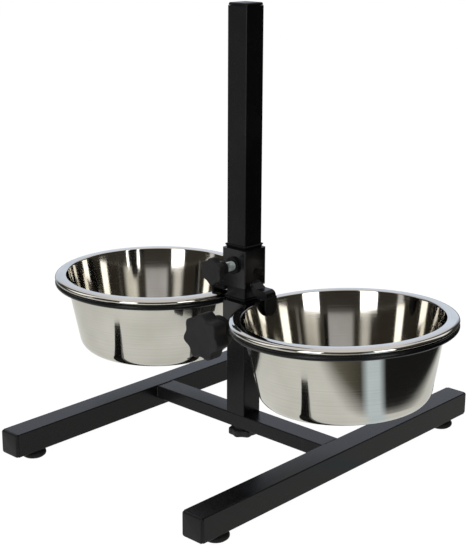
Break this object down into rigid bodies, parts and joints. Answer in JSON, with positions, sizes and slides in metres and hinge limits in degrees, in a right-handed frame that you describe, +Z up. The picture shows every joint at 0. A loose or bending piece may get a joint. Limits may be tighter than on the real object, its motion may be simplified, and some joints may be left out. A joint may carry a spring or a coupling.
{
  "type": "dog feeder stand",
  "caption": "Free-standing adjustable dog feeder: H base of square tube, central post, clamped sliding carriage with bowl rings, rim holder, star knobs and lift-out steel bowls.",
  "frame": {"origin": "centre of the footprint on the floor, under the post's axis", "axes": "+X from the left bowl to the right bowl, +Y along the rails away from the knobs, +Z up"},
  "size_m": [0.4916, 0.424, 0.4659],
  "materials": {
    "black_coat": "satin powder coat",
    "black_plastic": "satin",
    "knob_plastic": "matt",
    "rubber": "matt",
    "zinc_steel": "zinc plated",
    "stainless": "polished stainless"
  },
  "bodies": {
    "stand": {"rail_left": "black_coat", "rail_right": "black_coat", "cross_bar": "black_coat", "post": "black_coat", "post_cap": "black_plastic", "cap_left_front": "black_plastic", "cap_left_back": "black_plastic", "cap_right_front": "black_plastic", "cap_right_back": "black_plastic", "foot_left_front": "rubber", "foot_left_back": "rubber", "foot_right_front": "rubber", "foot_right_back": "rubber", "post_plug": "zinc_steel"},
    "base_knob": {"base_knob": "knob_plastic", "base_stud": "zinc_steel"},
    "carriage": {"carriage_sleeve": "black_coat", "carriage_bush": "black_plastic", "carriage_insert": "black_coat", "left_ring": "black_coat", "right_ring": "black_coat"},
    "height_knob": {"height_knob": "knob_plastic", "height_bolt": "zinc_steel"},
    "holder": {"holder_sleeve": "black_coat", "holder_bush": "black_plastic", "holder_insert": "black_coat", "left_finger": "black_coat", "right_finger": "black_coat", "left_pad": "rubber", "right_pad": "rubber"},
    "holder_knob": {"holder_knob": "knob_plastic", "holder_bolt": "zinc_steel"},
    "left_bowl": {"left_bowl": "stainless"},
    "right_bowl": {"right_bowl": "stainless"}
  },
  "joints": [
    {"name": "base_knob_turn", "type": "hinge", "parent": "stand", "child": "base_knob", "pos_m": [0, 0, 0.013], "axis": [0, 0, 1], "continuous": true},
    {"name": "carriage_height", "type": "slide", "parent": "stand", "child": "carriage", "axis": [0, 0, 1], "range_m": [-0.04, 0.13]},
    {"name": "height_knob_turn", "type": "hinge", "parent": "carriage", "child": "height_knob", "pos_m": [0, -0.05, 0.133], "axis": [0, -1, 0], "continuous": true},
    {"name": "holder_lift", "type": "slide", "parent": "carriage", "child": "holder", "axis": [0, 0, 1], "range_m": [0, 0.105]},
    {"name": "holder_knob_turn", "type": "hinge", "parent": "holder", "child": "holder_knob", "pos_m": [0, -0.04, 0.2], "axis": [0, -1, 0], "continuous": true},
    {"name": "left_bowl_lift", "type": "slide", "parent": "carriage", "child": "left_bowl", "axis": [0, 0, 1], "range_m": [0, 0.095]},
    {"name": "right_bowl_lift", "type": "slide", "parent": "carriage", "child": "right_bowl", "axis": [0, 0, 1], "range_m": [0, 0.095]}
  ],
  "couplings": [
    {"joint": "left_bowl_lift", "follows": "holder_lift", "ratio": 0.9},
    {"joint": "right_bowl_lift", "follows": "holder_lift", "ratio": 0.9}
  ]
}
